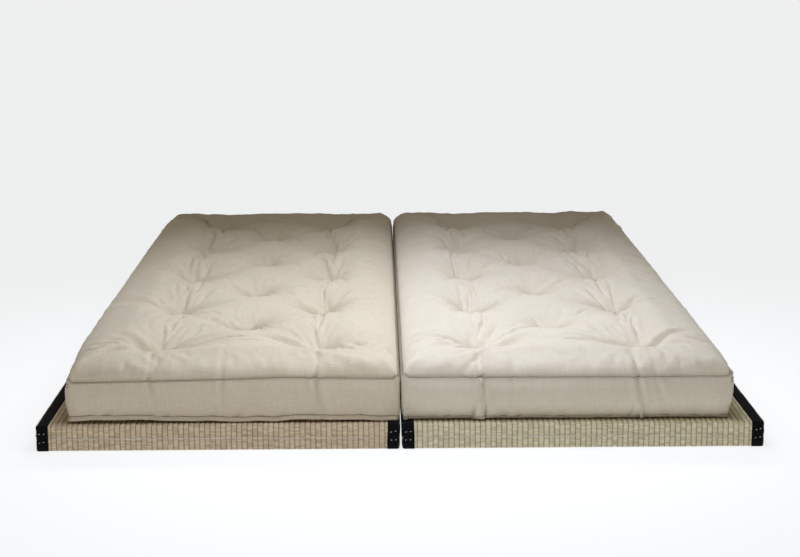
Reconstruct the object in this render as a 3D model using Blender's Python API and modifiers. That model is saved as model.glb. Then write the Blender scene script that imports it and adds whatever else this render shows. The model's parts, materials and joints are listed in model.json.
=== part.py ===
"""Futon bed set: two tufted futon mattresses that fold in half, on two tatami mats.

Units are metres. +Z is up, +Y runs from the front end to the rear end, +X to the right.
The origin is on the floor in the middle of the pair of mats.
"""

import math

import bmesh
import bpy
from mathutils import Matrix, Vector

# The pair of mats
MATS_WIDTH = 1.60
MAT_LENGTH = 2.00
MAT_HEIGHT = 0.058
MAT_GAP = 0.004  # between the two mats
BORDER_WIDTH = 0.028  # of the dark cloth, on top and round each end
BORDER_CLOTH = 0.0012
RUSH_THICKNESS = 0.0025

# One mattress
MATTRESS_WIDTH = 0.73
MATTRESS_LENGTH = 1.96
MATTRESS_GAP = 0.006  # between the two mattresses
FOLD_GAP = 0.005  # between the front and rear halves, where the middle tufts go down
SEAM_HEIGHT = 0.100  # of the boxing, from the underside to the top seam
CROWN_RISE = 0.033  # of the filling above the top seam
TUFT_SINK = 0.033  # of a top dimple below the crown
UNDERSIDE_SINK = 0.012  # of a dimple in the underside
COVER_CLOTH = 0.0012
LOWER_BATTING_TOP = 0.027
CORE_TOP = 0.072

# Tufting: rows of two and rows of one take turns along the mattress
ROW_PITCH = MATTRESS_LENGTH / 10
PAIR_X = MATTRESS_WIDTH / 4
LAST_ROW = 4
CORD_RADIUS = 0.0015
CORD_HOLE_RADIUS = 0.0025
KNOT_RADIUS = 0.0045
KNOT_HALF_HEIGHT = 0.002
KNOT_STANDOFF = 0.0035  # of a knot's centre from the bottom of its dimple
ROUND_SIDES = 8

FIT_GAP = 0.0003  # between pieces that touch
FOLD_CLEARANCE = 0.0015  # of the fold's axis above the crown

# A mattress surface has two grid cells from one row of tufts to the next
HALF_WIDTH = MATTRESS_WIDTH / 2
HALF_LENGTH = MATTRESS_LENGTH / 2
CELL_X = PAIR_X / 2
CELL_Y = ROW_PITCH / 2
CELLS_ACROSS = round(MATTRESS_WIDTH / CELL_X)
CELLS_ALONG = round(HALF_LENGTH / CELL_Y)

MATTRESS_BASE = MAT_HEIGHT + FIT_GAP
FOLD_AXIS_Z = MATTRESS_BASE + SEAM_HEIGHT + CROWN_RISE + FOLD_CLEARANCE
SIDES = {"left": -1, "right": 1}

# name: (base colour, roughness)
FINISHES = {
    "cotton_twill": ((0.66, 0.61, 0.52), 0.9),
    "cotton_batting": ((0.86, 0.84, 0.79), 1.0),
    "foam": ((0.90, 0.85, 0.66), 0.95),
    "tufting_cord": ((0.72, 0.68, 0.60), 0.85),
    "woven_rush": ((0.56, 0.49, 0.33), 0.7),
    "straw_board": ((0.44, 0.35, 0.21), 0.95),
    "border_cloth": ((0.012, 0.012, 0.018), 0.8),
}


def clear_scene():
    for obj in list(bpy.data.objects):
        bpy.data.objects.remove(obj, do_unlink=True)


def make_collection(name):
    collection = bpy.data.collections.new(name)
    bpy.context.scene.collection.children.link(collection)
    return collection


def make_material(name, colour, roughness):
    material = bpy.data.materials.new(name)
    material.use_nodes = True
    shader = material.node_tree.nodes["Principled BSDF"]
    shader.inputs["Base Color"].default_value = (*colour, 1.0)
    shader.inputs["Roughness"].default_value = roughness
    shader.inputs["Metallic"].default_value = 0.0
    return material


def make_pivot(name, place):
    """An empty that a body's pieces hang from, standing on the body's joint."""
    pivot = bpy.data.objects.new(name, None)
    pivot.location = place
    PARTS.objects.link(pivot)
    return pivot


def make_piece(name, mesh, place, finish, pivot):
    piece = bpy.data.objects.new(name, mesh)
    piece.location = place
    piece.data.materials.append(MATERIALS[finish])
    piece.parent = pivot
    piece.matrix_parent_inverse = Matrix.Translation(pivot.location).inverted()
    PARTS.objects.link(piece)
    return piece


def mesh_from(bm, name):
    mesh = bpy.data.meshes.new(name)
    bm.to_mesh(mesh)
    bm.free()
    return mesh


def box_mesh(name, low, high, open_towards=()):
    """A box between two corners, centred on its origin, without the faces that point open_towards."""
    size = Vector(high) - Vector(low)
    bm = bmesh.new()
    bmesh.ops.create_cube(bm, size=1.0)
    bmesh.ops.scale(bm, vec=size, verts=bm.verts)
    bm.normal_update()
    directions = [Vector(direction) for direction in open_towards]
    opened = [face for face in bm.faces if any(face.normal.dot(d) > 0.9 for d in directions)]
    bmesh.ops.delete(bm, geom=opened, context="FACES")
    return mesh_from(bm, name)


def middle_of(low, high):
    return (Vector(low) + Vector(high)) / 2


def solidify(piece, thickness, offset):
    """Offset -1 adds the thickness behind the faces, and 1 in front of them."""
    modifier = piece.modifiers.new("cloth", "SOLIDIFY")
    modifier.thickness = thickness
    modifier.offset = offset
    modifier.use_even_offset = True
    modifier.use_quality_normals = True


def bore(piece, cutter):
    modifier = piece.modifiers.new("cord_holes", "BOOLEAN")
    modifier.operation = "DIFFERENCE"
    modifier.object = cutter


# ---------------------------------------------------------------- tatami mats


def build_mat(side):
    """A straw board core, a rush facing turned down over both ends, and a cloth border on each side."""
    sign = SIDES[side]
    inner, outer = MAT_GAP / 2, MATS_WIDTH / 2
    body_x = sorted((sign * (inner + BORDER_CLOTH + FIT_GAP), sign * (outer - BORDER_CLOTH - FIT_GAP)))
    pivot = make_pivot(f"{side}_mat_pivot", (sign * (inner + outer) / 2, 0, 0))

    facing_end = MAT_LENGTH / 2 - BORDER_CLOTH - FIT_GAP
    facing_top = MAT_HEIGHT - BORDER_CLOTH - FIT_GAP
    core_end = facing_end - RUSH_THICKNESS - FIT_GAP
    core_top = facing_top - RUSH_THICKNESS - FIT_GAP

    low, high = (body_x[0], -core_end, 0), (body_x[1], core_end, core_top)
    name = f"{side}_mat_core"
    make_piece(name, box_mesh(name, low, high), middle_of(low, high), "straw_board", pivot)

    low, high = (body_x[0], -facing_end, FIT_GAP), (body_x[1], facing_end, facing_top)
    name = f"{side}_mat_rush_facing"
    open_towards = ((0, 0, -1), (1, 0, 0), (-1, 0, 0))
    mesh = box_mesh(name, low, high, open_towards)
    facing = make_piece(name, mesh, middle_of(low, high), "woven_rush", pivot)
    solidify(facing, RUSH_THICKNESS, -1)

    build_border(side, "outer", sign * outer, -sign, pivot)
    build_border(side, "inner", sign * inner, sign, pivot)


def build_border(side, which, edge_x, inward, pivot):
    """Cloth over one long edge: on top, down the side, and round both ends."""
    x = sorted((edge_x, edge_x + inward * BORDER_WIDTH))
    low, high = (x[0], -MAT_LENGTH / 2, 0), (x[1], MAT_LENGTH / 2, MAT_HEIGHT)
    name = f"{side}_mat_{which}_border"
    open_towards = ((0, 0, -1), (inward, 0, 0))
    mesh = box_mesh(name, low, high, open_towards)
    border = make_piece(name, mesh, middle_of(low, high), "border_cloth", pivot)
    solidify(border, BORDER_CLOTH, -1)


# ------------------------------------------------------------------ mattresses


def tuft_places():
    """Where the tufts go, from the mattress's middle: two in each even row and one in each odd row."""
    places = []
    for row in range(-LAST_ROW, LAST_ROW + 1):
        across = (-PAIR_X, PAIR_X) if row % 2 == 0 else (0,)
        places += [(x, row * ROW_PITCH) for x in across]
    return places


def tuft_pull(x, y):
    """1 at a tuft, falling to 0 one grid cell away."""
    reach = [max(abs(x - tx) / CELL_X, abs(y - ty) / CELL_Y) for tx, ty in tuft_places()]
    return max(0.0, 1.0 - min(reach))


def crown(x, y):
    """0 along the top seam, rising to 1 one grid cell inside it."""
    return min(1.0, (HALF_WIDTH - abs(x)) / CELL_X, (HALF_LENGTH - abs(y)) / CELL_Y)


def top_height(x, y):
    return SEAM_HEIGHT + CROWN_RISE * crown(x, y) - TUFT_SINK * tuft_pull(x, y)


def underside_height(x, y):
    return UNDERSIDE_SINK * tuft_pull(x, y)


def level(height):
    """A height function that is the same everywhere."""
    return lambda x, y: height


def shifted(height, distance):
    return lambda x, y: height(x, y) + distance


def surface_grid(half, inset):
    """A flat grid over one half, with a line of points on every row of tufts.

    Each cell is split from even point to even point, so that a dimple has eight equal slopes.
    """
    first_y = 0 if half == "rear" else -HALF_LENGTH
    fold_y = FOLD_GAP / 2
    bm = bmesh.new()
    bmesh.ops.create_grid(bm, x_segments=CELLS_ACROSS, y_segments=CELLS_ALONG, size=0.5)
    even = set()
    for vert in bm.verts:
        column = round((vert.co.x + 0.5) * CELLS_ACROSS)
        row = round((vert.co.y + 0.5) * CELLS_ALONG)
        if (column + row) % 2 == 0:
            even.add(vert)
        x = column * CELL_X - HALF_WIDTH
        y = row * CELL_Y + first_y
        most_x = HALF_WIDTH - inset
        vert.co.x = min(max(x, -most_x), most_x)
        near, far = (fold_y, HALF_LENGTH - inset) if half == "rear" else (inset - HALF_LENGTH, -fold_y)
        vert.co.y = min(max(y, near), far)
    for face in list(bm.faces):
        bmesh.utils.face_split(face, *[vert for vert in face.verts if vert in even])
    return bm


def cloth_panel_mesh(name, half, height):
    bm = surface_grid(half, inset=0)
    for vert in bm.verts:
        vert.co.z = height(vert.co.x, vert.co.y)
    return mesh_from(bm, name)


def padding_mesh(name, half, lower, upper):
    """A closed block of filling between two height functions, a little inside the boxing."""
    bm = surface_grid(half, inset=COVER_CLOTH + FIT_GAP)
    raised = bmesh.ops.extrude_face_region(bm, geom=bm.faces[:])["geom"]
    raised = {item for item in raised if isinstance(item, bmesh.types.BMVert)}
    for vert in bm.verts:
        height = upper if vert in raised else lower
        vert.co.z = height(vert.co.x, vert.co.y)
    bmesh.ops.recalc_face_normals(bm, faces=bm.faces[:])
    return mesh_from(bm, name)


def cord_cutter(side, half, place):
    """One cylinder through the mattress at each tuft that goes through this half."""
    bm = bmesh.new()
    for x, y in tuft_places():
        if y * (1 if half == "rear" else -1) > FOLD_GAP:
            shift = Matrix.Translation((x, y, SEAM_HEIGHT / 2))
            bmesh.ops.create_cone(
                bm,
                cap_ends=True,
                segments=ROUND_SIDES,
                radius1=CORD_HOLE_RADIUS,
                radius2=CORD_HOLE_RADIUS,
                depth=2 * SEAM_HEIGHT,
                matrix=shift,
            )
    name = f"{side}_{half}_cord_cutter"
    cutter = bpy.data.objects.new(name, mesh_from(bm, name))
    cutter.location = place
    cutter.hide_render = True
    cutter.display_type = "WIRE"
    CUTTERS.objects.link(cutter)
    return cutter


def build_half(side, half, place, pivot):
    """Cover panels, boxing, two layers of batting and a foam core, from the underside up."""
    lining = COVER_CLOTH + FIT_GAP
    cutter = cord_cutter(side, half, place)

    name = f"{side}_{half}_bottom_cover"
    cover = make_piece(name, cloth_panel_mesh(name, half, underside_height), place, "cotton_twill", pivot)
    solidify(cover, COVER_CLOTH, 1)
    bore(cover, cutter)

    # name, finish, lower face, upper face
    layers = (
        ("bottom_batting", "cotton_batting", shifted(underside_height, lining), level(LOWER_BATTING_TOP)),
        ("foam_core", "foam", level(LOWER_BATTING_TOP + FIT_GAP), level(CORE_TOP)),
        ("top_batting", "cotton_batting", level(CORE_TOP + FIT_GAP), shifted(top_height, -lining)),
    )
    for layer, finish, lower, upper in layers:
        name = f"{side}_{half}_{layer}"
        bore(make_piece(name, padding_mesh(name, half, lower, upper), place, finish, pivot), cutter)

    name = f"{side}_{half}_top_cover"
    cover = make_piece(name, cloth_panel_mesh(name, half, top_height), place, "cotton_twill", pivot)
    solidify(cover, COVER_CLOTH, -1)
    bore(cover, cutter)

    build_boxing(side, half, place, pivot)


def build_boxing(side, half, place, pivot):
    """The upright band that joins the two cover panels round the three sewn sides of a half."""
    direction = 1 if half == "rear" else -1
    y = sorted((direction * FOLD_GAP / 2, direction * HALF_LENGTH))
    low = (-HALF_WIDTH, y[0], COVER_CLOTH + FIT_GAP)
    high = (HALF_WIDTH, y[1], SEAM_HEIGHT - COVER_CLOTH - FIT_GAP)
    name = f"{side}_{half}_boxing"
    open_towards = ((0, 0, 1), (0, 0, -1), (0, -direction, 0))
    mesh = box_mesh(name, low, high, open_towards)
    boxing = make_piece(name, mesh, Vector(place) + middle_of(low, high), "cotton_twill", pivot)
    solidify(boxing, COVER_CLOTH, -1)


def knot_profile(centre_z, facing_up):
    """Points round a knot from its outer end to the cord, as (radius, height)."""
    direction = 1 if facing_up else -1
    angles = [math.radians(degrees) for degrees in (90, 45, 0, -45)]
    return [
        (KNOT_RADIUS * math.cos(angle), centre_z + direction * KNOT_HALF_HEIGHT * math.sin(angle))
        for angle in angles
    ]


def tuft_mesh(name):
    """A cord through the whole mattress with a knot in the dimple at each end, turned from one profile."""
    top = knot_profile(SEAM_HEIGHT + CROWN_RISE - TUFT_SINK + KNOT_STANDOFF, facing_up=True)
    bottom = knot_profile(UNDERSIDE_SINK - KNOT_STANDOFF, facing_up=False)
    cord = [(CORD_RADIUS, top[-1][1] - CORD_RADIUS), (CORD_RADIUS, bottom[-1][1] + CORD_RADIUS)]
    profile = top + cord + bottom[::-1]
    bm = bmesh.new()
    verts = [bm.verts.new((radius, 0, z)) for radius, z in profile]
    for first, second in zip(verts, verts[1:]):
        bm.edges.new((first, second))
    return mesh_from(bm, name)


def build_tufts(side, place, pivots):
    """Tufts in order from the front; those in the middle row belong to the rear half."""
    for number, (x, y) in enumerate(tuft_places(), start=1):
        name = f"{side}_tuft_{number:02d}"
        pivot = pivots["front"] if y < -FOLD_GAP else pivots["rear"]
        tuft = make_piece(name, tuft_mesh(name), Vector(place) + Vector((x, y, 0)), "tufting_cord", pivot)
        turn = tuft.modifiers.new("turned", "SCREW")
        turn.axis = "Z"
        turn.angle = math.tau
        turn.steps = ROUND_SIDES
        turn.render_steps = ROUND_SIDES
        turn.use_merge_vertices = True
        turn.merge_threshold = 0.00001


def build_mattress(side):
    centre_x = SIDES[side] * (MATTRESS_GAP / 2 + HALF_WIDTH)
    place = (centre_x, 0, MATTRESS_BASE)
    pivots = {
        "rear": make_pivot(f"{side}_rear_pivot", place),
        "front": make_pivot(f"{side}_front_pivot", (centre_x, 0, FOLD_AXIS_Z)),
    }
    for half, pivot in pivots.items():
        build_half(side, half, place, pivot)
    build_tufts(side, place, pivots)


clear_scene()
PARTS = make_collection("futon_bed_set")
CUTTERS = make_collection("cutters")
MATERIALS = {name: make_material(name, *values) for name, values in FINISHES.items()}
for side_name in SIDES:
    build_mat(side_name)
    build_mattress(side_name)
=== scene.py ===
import json
import math
import random

import bmesh
import bpy
import numpy as np
from mathutils import Matrix, Vector, noise

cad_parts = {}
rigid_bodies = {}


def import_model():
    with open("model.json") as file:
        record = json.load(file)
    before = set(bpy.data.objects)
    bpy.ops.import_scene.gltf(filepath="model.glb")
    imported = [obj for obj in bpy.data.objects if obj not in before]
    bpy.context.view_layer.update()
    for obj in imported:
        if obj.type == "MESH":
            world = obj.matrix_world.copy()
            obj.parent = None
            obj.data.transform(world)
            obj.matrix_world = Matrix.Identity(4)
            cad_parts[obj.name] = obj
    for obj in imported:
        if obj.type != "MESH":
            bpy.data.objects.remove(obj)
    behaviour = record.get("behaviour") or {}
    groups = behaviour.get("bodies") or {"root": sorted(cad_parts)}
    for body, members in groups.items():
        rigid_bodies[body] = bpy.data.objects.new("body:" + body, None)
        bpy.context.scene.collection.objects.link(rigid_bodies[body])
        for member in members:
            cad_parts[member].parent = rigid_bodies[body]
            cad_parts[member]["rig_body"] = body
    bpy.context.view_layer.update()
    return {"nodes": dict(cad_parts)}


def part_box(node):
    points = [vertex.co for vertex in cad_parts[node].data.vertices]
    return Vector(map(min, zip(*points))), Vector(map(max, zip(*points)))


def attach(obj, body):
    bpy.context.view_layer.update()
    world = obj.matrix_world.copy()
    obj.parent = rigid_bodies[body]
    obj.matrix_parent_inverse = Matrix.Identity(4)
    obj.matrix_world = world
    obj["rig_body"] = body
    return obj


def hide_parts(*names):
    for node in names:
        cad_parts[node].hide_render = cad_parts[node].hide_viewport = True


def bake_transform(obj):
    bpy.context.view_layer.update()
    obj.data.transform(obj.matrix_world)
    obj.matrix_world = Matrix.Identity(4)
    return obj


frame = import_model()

sideSigns = {"left": -1, "right": 1}
print("frame loaded:", len(frame["nodes"]), "solids")


# small helpers

def smoothStep(values):
    values = np.clip(values, 0, 1)
    return values * values * (3 - 2 * values)


def bumps(points, size, seed=0.0):
    # soft noise from -1 to 1 at each point, with lumps about this many metres apart
    offset = Vector((seed * 7.31, seed * 3.17, seed * 5.53))
    flat = np.asarray(points, float).reshape(-1, 3) / size
    found = [noise.noise(Vector(point) + offset) for point in flat.tolist()]
    return np.array(found).reshape(np.shape(points)[:-1])


def around(grid):
    # the edge of a grid, anticlockwise from its first corner
    return np.concatenate([grid[0, :-1], grid[:-1, -1], grid[-1, :0:-1], grid[:0:-1, 0]])


def quadsOf(index):
    # four-sided faces between neighbours in a grid of point numbers
    corners = (index[:-1, :-1], index[:-1, 1:], index[1:, 1:], index[1:, :-1])
    return np.stack(corners, axis=-1).reshape(-1, 4)


def meshFrom(name, points, quads, cornerCloth=None):
    # cornerCloth is where each face's corners lie on the flat cloth, in metres
    mesh = bpy.data.meshes.new(name)
    mesh.from_pydata(np.asarray(points).reshape(-1, 3).tolist(), [], np.asarray(quads).tolist())
    if cornerCloth is not None:
        layer = mesh.uv_layers.new(name="cloth")
        layer.data.foreach_set("uv", np.asarray(cornerCloth, np.float32).ravel())
    mesh.shade_smooth()
    return mesh


def sheetMesh(name, grid, cloth, closed=False, flipped=False):
    # grid is rows x columns of points; cloth gives each its place on the flat cloth
    rows, columns = grid.shape[:2]
    index = np.arange(rows * columns).reshape(rows, columns)
    if closed:
        index = np.hstack([index, index[:, :1]])
    place = np.arange(cloth.shape[0] * cloth.shape[1]).reshape(cloth.shape[:2])
    quads, places = quadsOf(index), quadsOf(place)
    if flipped:
        quads, places = quads[:, ::-1], places[:, ::-1]
    return meshFrom(name, grid, quads, cloth.reshape(-1, 2)[places])


def addPiece(name, mesh, material):
    piece = bpy.data.objects.new(name, mesh)
    piece.data.materials.append(materials[material])
    bpy.context.scene.collection.objects.link(piece)
    return piece


def thicken(piece, thickness):
    # the cloth's own thickness, added on its inner side
    modifier = piece.modifiers.new("thickness", "SOLIDIFY")
    modifier.thickness = thickness
    modifier.offset = -1
    modifier.use_quality_normals = True


def threadMesh(name, paths, radius, sides=3):
    # round threads along lists of points, as one mesh
    curve = bpy.data.curves.new(name, "CURVE")
    curve.dimensions = "3D"
    curve.bevel_depth = radius
    curve.bevel_resolution = sides - 1
    curve.use_fill_caps = True
    for path in paths:
        spline = curve.splines.new("POLY")
        spline.points.add(len(path) - 1)
        spline.points.foreach_set("co", [c for point in path for c in (*point, 1.0)])
        spline.use_smooth = True
    holder = bpy.data.objects.new(name + "_path", curve)
    bpy.context.scene.collection.objects.link(holder)
    graph = bpy.context.evaluated_depsgraph_get()
    mesh = bpy.data.meshes.new_from_object(holder.evaluated_get(graph))
    mesh.name = name
    bpy.data.objects.remove(holder)
    bpy.data.curves.remove(curve)
    return mesh


# shader groups, shared by the materials

def newGroup(name, inputs, outputs):
    # inputs and outputs are name: (socket type, default)
    group = bpy.data.node_groups.new(name, "ShaderNodeTree")
    for direction, sockets in (("INPUT", inputs), ("OUTPUT", outputs)):
        for label, (kind, default) in sockets.items():
            socket = group.interface.new_socket(name=label, in_out=direction, socket_type=kind)
            if default is not None:
                socket.default_value = default
    start = group.nodes.new("NodeGroupInput")
    end = group.nodes.new("NodeGroupOutput")
    return group, start, end


def addNode(tree, kind, links=(), **settings):
    # links is (input, what feeds it): an output socket, or a fixed value
    node = tree.nodes.new(kind)
    for name, value in settings.items():
        setattr(node, name, value)
    for socket, source in links:
        if isinstance(source, bpy.types.NodeSocket):
            tree.links.new(source, node.inputs[socket])
        else:
            node.inputs[socket].default_value = source
    return node


def mathNode(tree, operation, first, second=0.0, third=0.0):
    links = ((0, first), (1, second), (2, third))
    return addNode(tree, "ShaderNodeMath", links, operation=operation).outputs[0]


def mixColour(tree, factor, first, second, blend="MIX"):
    links = ((0, factor), (6, first), (7, second))
    node = addNode(tree, "ShaderNodeMix", links, data_type="RGBA", blend_type=blend)
    return node.outputs[2]


def ramp(tree, value, low, high):
    # 0 below low, 1 above high
    links = ((0, value), (1, low), (2, high))
    return addNode(tree, "ShaderNodeMapRange", links, interpolation_type="SMOOTHSTEP").outputs[0]


def noiseValue(tree, vector, scale, detail=3.0, roughness=0.5):
    links = (("Vector", vector), ("Scale", scale), ("Detail", detail), ("Roughness", roughness))
    return addNode(tree, "ShaderNodeTexNoise", links).outputs[0]


def stretched(tree, vector, scale):
    links = ((0, vector), (1, scale))
    return addNode(tree, "ShaderNodeVectorMath", links, operation="MULTIPLY").outputs[0]


def weaveGroup():
    # plain weave from the cloth's own coordinates, with thick and thin threads
    group, start, end = newGroup(
        "plain weave",
        {"Cloth": ("NodeSocketVector", None), "Threads per metre": ("NodeSocketFloat", 1200.0),
         "Slub": ("NodeSocketFloat", 0.5)},
        {"Height": ("NodeSocketFloat", None), "Slubs": ("NodeSocketFloat", None)},
    )
    split = addNode(group, "ShaderNodeSeparateXYZ", ((0, start.outputs["Cloth"]),))
    turns = mathNode(group, "MULTIPLY", start.outputs["Threads per metre"], math.pi)
    waves = []
    for axis in ("X", "Y"):
        phase = mathNode(group, "MULTIPLY", split.outputs[axis], turns)
        waves.append(mathNode(group, "SINE", phase))
    crossing = mathNode(group, "MULTIPLY", waves[0], waves[1])
    slubs = []
    for scale in ((25.0, 420.0, 1.0), (420.0, 25.0, 1.0)):
        streak = stretched(group, start.outputs["Cloth"], scale)
        slubs.append(noiseValue(group, streak, 1.0, 2.0))
    slub = mathNode(group, "ADD", slubs[0], slubs[1])
    slub = mathNode(group, "SUBTRACT", slub, 1.0)
    raised = mathNode(group, "MULTIPLY", slub, start.outputs["Slub"])
    height = mathNode(group, "MULTIPLY_ADD", crossing, 0.25, raised)
    group.links.new(height, end.inputs["Height"])
    group.links.new(slub, end.inputs["Slubs"])
    return group


def mottleGroup():
    # slow and fine colour change over a surface, from 0 to 1 with 0.5 in the middle
    group, start, end = newGroup(
        "mottle",
        {"Place": ("NodeSocketVector", None), "Patch size": ("NodeSocketFloat", 0.1),
         "Fine share": ("NodeSocketFloat", 0.3)},
        {"Tone": ("NodeSocketFloat", None)},
    )
    scale = mathNode(group, "DIVIDE", 1.0, start.outputs["Patch size"])
    slow = noiseValue(group, start.outputs["Place"], scale, 3.0)
    fine = noiseValue(group, start.outputs["Place"], mathNode(group, "MULTIPLY", scale, 9.0), 4.0)
    mixed = addNode(group, "ShaderNodeMix", ((0, start.outputs["Fine share"]), (2, slow), (3, fine)))
    group.links.new(mixed.outputs[0], end.inputs["Tone"])
    return group


def rushGroup():
    # ribs of rush that pass over and under: every second brick in a rib stands up
    group, start, end = newGroup(
        "rush weave",
        {"Cloth": ("NodeSocketVector", None), "Rib": ("NodeSocketFloat", 0.0116),
         "Brick": ("NodeSocketFloat", 0.0098), "Strand": ("NodeSocketFloat", 0.0033)},
        {"Height": ("NodeSocketFloat", None), "Strand tone": ("NodeSocketFloat", None),
         "Gaps": ("NodeSocketFloat", None)},
    )
    split = addNode(group, "ShaderNodeSeparateXYZ", ((0, start.outputs["Cloth"]),))
    ribs = mathNode(group, "DIVIDE", split.outputs["X"], start.outputs["Rib"])
    rib = mathNode(group, "FLOOR", ribs)
    ribShift = mathNode(group, "MULTIPLY", rib, math.pi)
    bricks = mathNode(group, "DIVIDE", split.outputs["Y"], start.outputs["Brick"])
    turn = mathNode(group, "MULTIPLY_ADD", bricks, math.pi, ribShift)
    brick = mathNode(group, "SINE", turn)
    across = mathNode(group, "SINE", mathNode(group, "MULTIPLY", mathNode(group, "FRACT", ribs), math.pi))
    rounded = mathNode(group, "POWER", across, 0.6)
    strands = mathNode(group, "DIVIDE", split.outputs["Y"], start.outputs["Strand"])
    strand = mathNode(group, "SINE", mathNode(group, "MULTIPLY", mathNode(group, "FRACT", strands), math.pi))
    strand = mathNode(group, "POWER", strand, 0.5)
    cell = addNode(group, "ShaderNodeCombineXYZ", ((0, rib), (1, mathNode(group, "FLOOR", strands))))
    tone = addNode(group, "ShaderNodeTexWhiteNoise", ((0, cell.outputs[0]),), noise_dimensions="2D")
    height = mathNode(group, "MULTIPLY_ADD", brick, 0.3, rounded)
    height = mathNode(group, "MULTIPLY_ADD", strand, 0.35, height)
    gap = mathNode(group, "MULTIPLY", rounded, mathNode(group, "MULTIPLY_ADD", strand, 0.5, 0.5))
    gaps = mathNode(group, "SUBTRACT", 1.0, gap)
    group.links.new(height, end.inputs["Height"])
    group.links.new(tone.outputs["Value"], end.inputs["Strand tone"])
    group.links.new(gaps, end.inputs["Gaps"])
    return group


def fibreGroup():
    # loose fibres lying every way
    group, start, end = newGroup(
        "fibres",
        {"Place": ("NodeSocketVector", None), "Fibres per metre": ("NodeSocketFloat", 400.0)},
        {"Height": ("NodeSocketFloat", None)},
    )
    found = []
    for stretch in ((1.0, 0.12, 0.5), (0.12, 1.0, 0.5), (0.6, 0.5, 0.12)):
        place = stretched(group, start.outputs["Place"], stretch)
        found.append(noiseValue(group, place, start.outputs["Fibres per metre"], 4.0, 0.7))
    longest = mathNode(group, "MAXIMUM", mathNode(group, "MAXIMUM", found[0], found[1]), found[2])
    group.links.new(longest, end.inputs["Height"])
    return group


def placeGroup(tree, group, links):
    return addNode(tree, "ShaderNodeGroup", links, node_tree=group).outputs


weave, mottle, rush, fibre = weaveGroup(), mottleGroup(), rushGroup(), fibreGroup()


def mottled(tree, place, patchSize, fineShare):
    links = (("Place", place), ("Patch size", patchSize), ("Fine share", fineShare))
    return placeGroup(tree, mottle, links)["Tone"]


# materials

def newMaterial(name, roughness, sheen=0.0, sheenRoughness=0.5, specular=0.3):
    material = bpy.data.materials.new(name)
    material.use_nodes = True
    tree = material.node_tree
    shader = tree.nodes["Principled BSDF"]
    shader.inputs["Roughness"].default_value = roughness
    shader.inputs["Specular IOR Level"].default_value = specular
    shader.inputs["Sheen Weight"].default_value = sheen
    shader.inputs["Sheen Roughness"].default_value = sheenRoughness
    return material, tree, shader


def addBump(tree, shader, height, distance, strength=1.0):
    links = (("Height", height), ("Distance", distance), ("Strength", strength))
    bump = addNode(tree, "ShaderNodeBump", links)
    tree.links.new(bump.outputs[0], shader.inputs["Normal"])


def cottonMaterial(name, light, dark):
    # undyed twill: mottled, slubby, with a few flecks of cotton seed
    material, tree, shader = newMaterial(name, 0.92, sheen=0.12, specular=0.15)
    place = addNode(tree, "ShaderNodeTexCoord").outputs["Object"]
    cloth = addNode(tree, "ShaderNodeUVMap", uv_map="cloth").outputs[0]
    threads = placeGroup(tree, weave, (("Cloth", cloth), ("Threads per metre", 1300.0), ("Slub", 0.9)))
    tone = mottled(tree, place, 0.14, 0.35)
    colour = mixColour(tree, ramp(tree, tone, 0.2, 0.75), dark, light)
    streak = mathNode(tree, "MULTIPLY_ADD", threads["Slubs"], 1.1, 0.5)
    streaks = mixColour(tree, streak, (0.35, 0.33, 0.3, 1), (0.65, 0.65, 0.64, 1))
    colour = mixColour(tree, 0.5, colour, streaks, "OVERLAY")
    fleck = ramp(tree, noiseValue(tree, place, 260.0, 1.0), 0.765, 0.79)
    colour = mixColour(tree, mathNode(tree, "MULTIPLY", fleck, 0.6), colour, (0.22, 0.16, 0.1, 1))
    tree.links.new(colour, shader.inputs["Base Color"])
    crumple = noiseValue(tree, place, 55.0, 3.0)
    height = mathNode(tree, "MULTIPLY_ADD", crumple, 1.6, threads["Height"])
    addBump(tree, shader, height, 0.0006, 0.8)
    return material


def rushMaterial(name, light, dark, tint):
    material, tree, shader = newMaterial(name, 0.62, specular=0.35)
    place = addNode(tree, "ShaderNodeTexCoord").outputs["Object"]
    cloth = addNode(tree, "ShaderNodeUVMap", uv_map="cloth").outputs[0]
    woven = placeGroup(tree, rush, (("Cloth", cloth),))
    tone = mottled(tree, place, 0.05, 0.4)
    colour = mixColour(tree, woven["Strand tone"], dark, light)
    colour = mixColour(tree, ramp(tree, tone, 0.35, 0.65), colour, mixColour(tree, 0.5, colour, tint))
    hollow = mathNode(tree, "MULTIPLY", ramp(tree, woven["Gaps"], 0.35, 0.95), 0.75)
    colour = mixColour(tree, hollow, colour, (0.13, 0.09, 0.045, 1))
    tree.links.new(colour, shader.inputs["Base Color"])
    grain = noiseValue(tree, stretched(tree, place, (60.0, 900.0, 900.0)), 1.0, 3.0)
    height = mathNode(tree, "MULTIPLY_ADD", grain, 0.25, woven["Height"])
    addBump(tree, shader, height, 0.0011, 0.9)
    return material


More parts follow.
